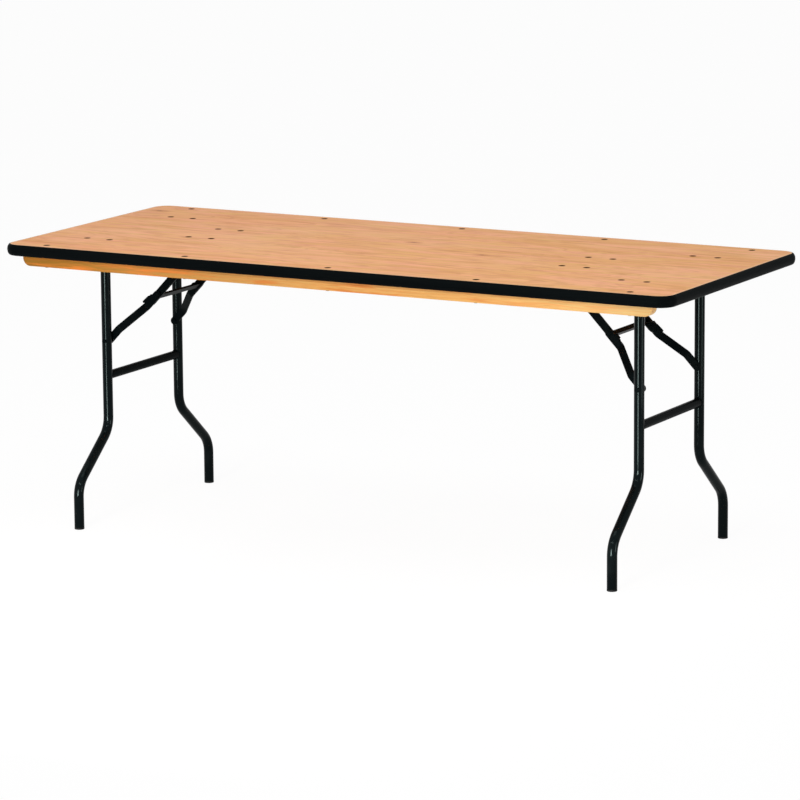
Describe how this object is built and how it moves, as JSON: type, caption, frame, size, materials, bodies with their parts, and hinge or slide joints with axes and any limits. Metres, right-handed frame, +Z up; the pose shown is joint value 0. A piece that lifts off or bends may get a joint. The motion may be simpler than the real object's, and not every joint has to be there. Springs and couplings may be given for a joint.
{
  "type": "folding table",
  "caption": "Rectangular plywood banquet table with a black edge band, wooden side rails and bent-tube legs that fold flat under the top on hinged stays with drop latches.",
  "frame": {"origin": "on the floor, under the middle of the table", "axes": "+X along the table's length towards its right end, -Y towards its front edge, +Z up"},
  "size_m": [1.83, 0.76, 0.72],
  "materials": {
    "plywood": "clear satin lacquer over rotary-cut veneer",
    "rail_wood": "clear lacquer over pine",
    "edge_band": "satin black moulding",
    "frame_paint": "gloss black paint",
    "bracket_steel": "gloss black paint",
    "rivet_steel": "dark blued steel",
    "plug_plastic": "black moulded plastic"
  },
  "bodies": {
    "tabletop": {"edge_band": "edge_band", "plywood_top": "plywood", "rail_back": "rail_wood", "rail_front": "rail_wood", "rail_rivets_back": "rivet_steel", "rail_rivets_front": "rivet_steel", "right_bracket_rivets": "rivet_steel", "right_leg_bracket_back": "bracket_steel", "right_leg_bracket_front": "bracket_steel", "right_leg_pivot_pins": "bracket_steel", "right_stay_bracket_back": "bracket_steel", "right_stay_bracket_front": "bracket_steel", "right_stay_pivot_pins": "bracket_steel", "left_bracket_rivets": "rivet_steel", "left_leg_bracket_back": "bracket_steel", "left_leg_bracket_front": "bracket_steel", "left_leg_pivot_pins": "bracket_steel", "left_stay_bracket_back": "bracket_steel", "left_stay_bracket_front": "bracket_steel", "left_stay_pivot_pins": "bracket_steel"},
    "right_leg": {"right_foot_plugs": "plug_plastic", "right_leg_crossbar": "frame_paint", "right_leg_rivets": "frame_paint", "right_leg_tube_back": "frame_paint", "right_leg_tube_front": "frame_paint", "right_tube_top_plugs": "plug_plastic"},
    "right_upper_stays": {"right_latch_rivets": "frame_paint", "right_upper_stay_back": "frame_paint", "right_upper_stay_front": "frame_paint"},
    "right_lower_stays": {"right_knuckle_rivets": "frame_paint", "right_lower_stay_back": "frame_paint", "right_lower_stay_front": "frame_paint"},
    "right_latch": {"right_latch_bar": "frame_paint", "right_latch_hook": "frame_paint", "right_latch_plate": "frame_paint"},
    "left_leg": {"left_foot_plugs": "plug_plastic", "left_leg_crossbar": "frame_paint", "left_leg_rivets": "frame_paint", "left_leg_tube_back": "frame_paint", "left_leg_tube_front": "frame_paint", "left_tube_top_plugs": "plug_plastic"},
    "left_upper_stays": {"left_latch_rivets": "frame_paint", "left_upper_stay_back": "frame_paint", "left_upper_stay_front": "frame_paint"},
    "left_lower_stays": {"left_knuckle_rivets": "frame_paint", "left_lower_stay_back": "frame_paint", "left_lower_stay_front": "frame_paint"},
    "left_latch": {"left_latch_bar": "frame_paint", "left_latch_hook": "frame_paint", "left_latch_plate": "frame_paint"}
  },
  "joints": [
    {"name": "right_leg_fold", "type": "hinge", "parent": "tabletop", "child": "right_leg", "pos_m": [0.741, 0, 0.67957], "axis": [0, 1, 0], "range_deg": [0, 90]},
    {"name": "right_upper_stay_swing", "type": "hinge", "parent": "tabletop", "child": "right_upper_stays", "pos_m": [0.522, 0, 0.6857], "axis": [0, 1, 0], "range_deg": [-40.75, 0]},
    {"name": "right_lower_stay_swing", "type": "hinge", "parent": "right_leg", "child": "right_lower_stays", "pos_m": [0.741, 0, 0.457], "axis": [0, 1, 0], "range_deg": [0, 46.96]},
    {"name": "right_latch_lift", "type": "hinge", "parent": "right_upper_stays", "child": "right_latch", "pos_m": [0.64634, 0, 0.55585], "axis": [0, 1, 0], "range_deg": [0, 20]},
    {"name": "left_leg_fold", "type": "hinge", "parent": "tabletop", "child": "left_leg", "pos_m": [-0.741, 0, 0.67957], "axis": [0, -1, 0], "range_deg": [0, 90]},
    {"name": "left_upper_stay_swing", "type": "hinge", "parent": "tabletop", "child": "left_upper_stays", "pos_m": [-0.522, 0, 0.6857], "axis": [0, -1, 0], "range_deg": [-40.75, 0]},
    {"name": "left_lower_stay_swing", "type": "hinge", "parent": "left_leg", "child": "left_lower_stays", "pos_m": [-0.741, 0, 0.457], "axis": [0, -1, 0], "range_deg": [0, 46.96]},
    {"name": "left_latch_lift", "type": "hinge", "parent": "left_upper_stays", "child": "left_latch", "pos_m": [-0.64634, 0, 0.55585], "axis": [0, -1, 0], "range_deg": [0, 20]}
  ],
  "couplings": [
    {"joint": "right_upper_stay_swing", "follows": "right_leg_fold", "ratio": -0.45268},
    {"joint": "right_lower_stay_swing", "follows": "right_leg_fold", "ratio": 0.52164},
    {"joint": "left_upper_stay_swing", "follows": "left_leg_fold", "ratio": -0.45268},
    {"joint": "left_lower_stay_swing", "follows": "left_leg_fold", "ratio": 0.52164}
  ]
}
